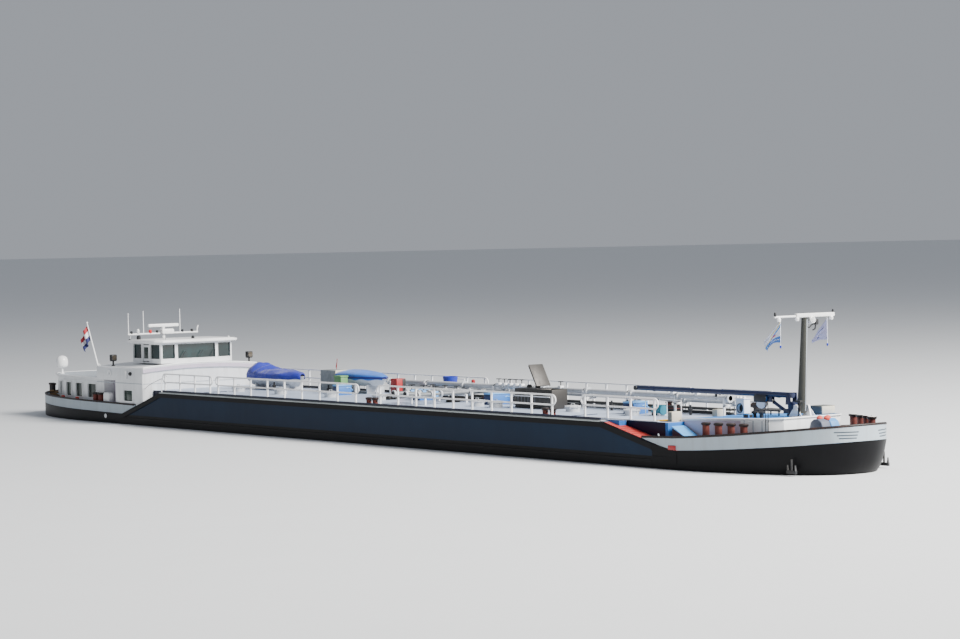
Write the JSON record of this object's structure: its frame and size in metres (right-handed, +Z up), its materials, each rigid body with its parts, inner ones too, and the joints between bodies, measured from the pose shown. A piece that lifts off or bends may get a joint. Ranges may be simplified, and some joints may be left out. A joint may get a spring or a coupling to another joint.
{
  "type": "river motor tanker barge, 1:10 scale model",
  "caption": "Low inland motor tanker with raised cargo deck, bow mast, boom crane, deck pipes and aft wheelhouse; a scale model.",
  "frame": {"origin": "middle of the hull bottom, midway between stem and stern", "axes": "+X towards the bow, +Y to port, +Z up"},
  "size_m": [7.46, 0.83, 0.907],
  "materials": {
    "hull_blue": "satin hull paint",
    "hull_black": "matt hull paint",
    "bulwark_grey": "satin paint",
    "house_white": "gloss paint",
    "window": "tinted",
    "machine_steel": "dull",
    "bronze": "cast",
    "bollard_rust": "worn paint",
    "box_blue": "satin paint",
    "cover_blue": "coated cloth",
    "cover_azure": "coated cloth",
    "mast_olive": "satin paint",
    "crane_navy": "gloss paint",
    "flag_cloth": "woven",
    "dome_white": "smooth"
  },
  "bodies": {
    "ship": {"aft_house": "house_white", "aft_house_glass_port": "window", "aft_house_glass_stbd": "window", "anchor_port": "hull_black", "anchor_stbd": "hull_black", "bollards_bow": "bollard_rust", "bollards_fore_port": "bollard_rust", "bollards_fore_stbd": "bollard_rust", "bollards_house_port": "bollard_rust", "bollards_house_stbd": "bollard_rust", "bollards_stern_port": "bollard_rust", "bollards_stern_stbd": "bollard_rust", "bow_bulwark": "bulwark_grey", "cargo_pipes": "house_white", "covered_boat": "cover_blue", "deck_box_aft": "box_blue", "deck_box_bow": "box_blue", "deck_box_fore": "box_blue", "deck_box_mid": "box_blue", "deck_crate": "machine_steel", "engine_block": "machine_steel", "ensign": "flag_cloth", "ensign_staff": "house_white", "fore_rail_port": "house_white", "fore_rail_stbd": "house_white", "foredeck_house": "house_white", "hatch_box": "machine_steel", "helm_desk": "machine_steel", "hull_afterbody": "hull_black", "hull_forebody": "hull_black", "hull_midbody": "hull_blue", "radar_mast": "house_white", "red_cabinet": "bollard_rust", "satellite_dome": "dome_white", "searchlight_port": "machine_steel", "searchlight_stbd": "machine_steel", "ship_boat": "cover_azure", "side_rail_port": "house_white", "side_rail_stbd": "house_white", "stern_bulwark": "bulwark_grey", "superstructure": "house_white", "vent_house": "house_white", "wheelhouse": "house_white", "wheelhouse_glass": "window", "wheelhouse_roof": "house_white", "windlass": "bollard_rust"},
    "propeller": {"propeller": "bronze"},
    "rudder_stbd": {"rudder_stbd": "hull_black"},
    "rudder_port": {"rudder_port": "hull_black"},
    "radar": {"radar_scanner": "house_white"},
    "bow_mast": {"mast": "mast_olive", "pennant_stbd": "flag_cloth", "pennant_port": "flag_cloth"},
    "crane": {"crane_column": "crane_navy"},
    "boom": {"crane_boom": "crane_navy"},
    "luff_cylinder": {"crane_cylinder": "crane_navy"},
    "luff_rod": {"crane_rod": "machine_steel"},
    "hatch_cover": {"hatch_lid": "machine_steel"},
    "cabin_door": {"cabin_door": "house_white"},
    "bridge_door": {"wheelhouse_door": "house_white"}
  },
  "joints": [
    {"name": "propeller_spin", "type": "hinge", "parent": "ship", "child": "propeller", "pos_m": [-3.29, 0, 0.082], "axis": [1, 0, 0], "continuous": true},
    {"name": "rudder_stbd_turn", "type": "hinge", "parent": "ship", "child": "rudder_stbd", "pos_m": [-3.46, -0.062, 0.17], "axis": [0, 0, 1], "range_deg": [-45, 45]},
    {"name": "rudder_port_turn", "type": "hinge", "parent": "ship", "child": "rudder_port", "pos_m": [-3.46, 0.062, 0.17], "axis": [0, 0, 1], "range_deg": [-45, 45]},
    {"name": "radar_spin", "type": "hinge", "parent": "ship", "child": "radar", "pos_m": [-2.445, 0, 0.76], "axis": [0, 0, 1], "continuous": true},
    {"name": "mast_fold", "type": "hinge", "parent": "ship", "child": "bow_mast", "pos_m": [3.295, 0, 0.46], "axis": [0, 1, 0], "range_deg": [0, 85]},
    {"name": "crane_slew", "type": "hinge", "parent": "ship", "child": "crane", "pos_m": [3.23, 0, 0.44], "axis": [0, 0, 1], "range_deg": [-100, 100]},
    {"name": "boom_luff", "type": "hinge", "parent": "crane", "child": "boom", "pos_m": [3.23, 0, 0.516], "axis": [0, 1, 0], "range_deg": [0, 55]},
    {"name": "cylinder_tilt", "type": "hinge", "parent": "crane", "child": "luff_cylinder", "pos_m": [3.196, 0, 0.44], "axis": [0, 1, 0], "range_deg": [0, 43.8]},
    {"name": "rod_slide", "type": "slide", "parent": "luff_cylinder", "child": "luff_rod", "axis": [-0.9032, 0, 0.4292], "range_m": [0, 0.0722]},
    {"name": "hatch_hinge", "type": "hinge", "parent": "ship", "child": "hatch_cover", "pos_m": [1.387, 0, 0.497], "axis": [0, 1, 0], "range_deg": [0, 121]},
    {"name": "cabin_door_hinge", "type": "hinge", "parent": "ship", "child": "cabin_door", "pos_m": [-2.515, -0.275, 0.34], "axis": [0, 0, 1], "range_deg": [-95, 0]},
    {"name": "bridge_door_hinge", "type": "hinge", "parent": "ship", "child": "bridge_door", "pos_m": [-2.265, -0.2465, 0.6], "axis": [0, 0, 1], "range_deg": [-95, 0]}
  ],
  "couplings": [
    {"joint": "rudder_port_turn", "follows": "rudder_stbd_turn", "ratio": 1},
    {"joint": "cylinder_tilt", "follows": "boom_luff", "ratio": 0.78754},
    {"joint": "rod_slide", "follows": "boom_luff", "m_per_rad": 0.07413}
  ]
}
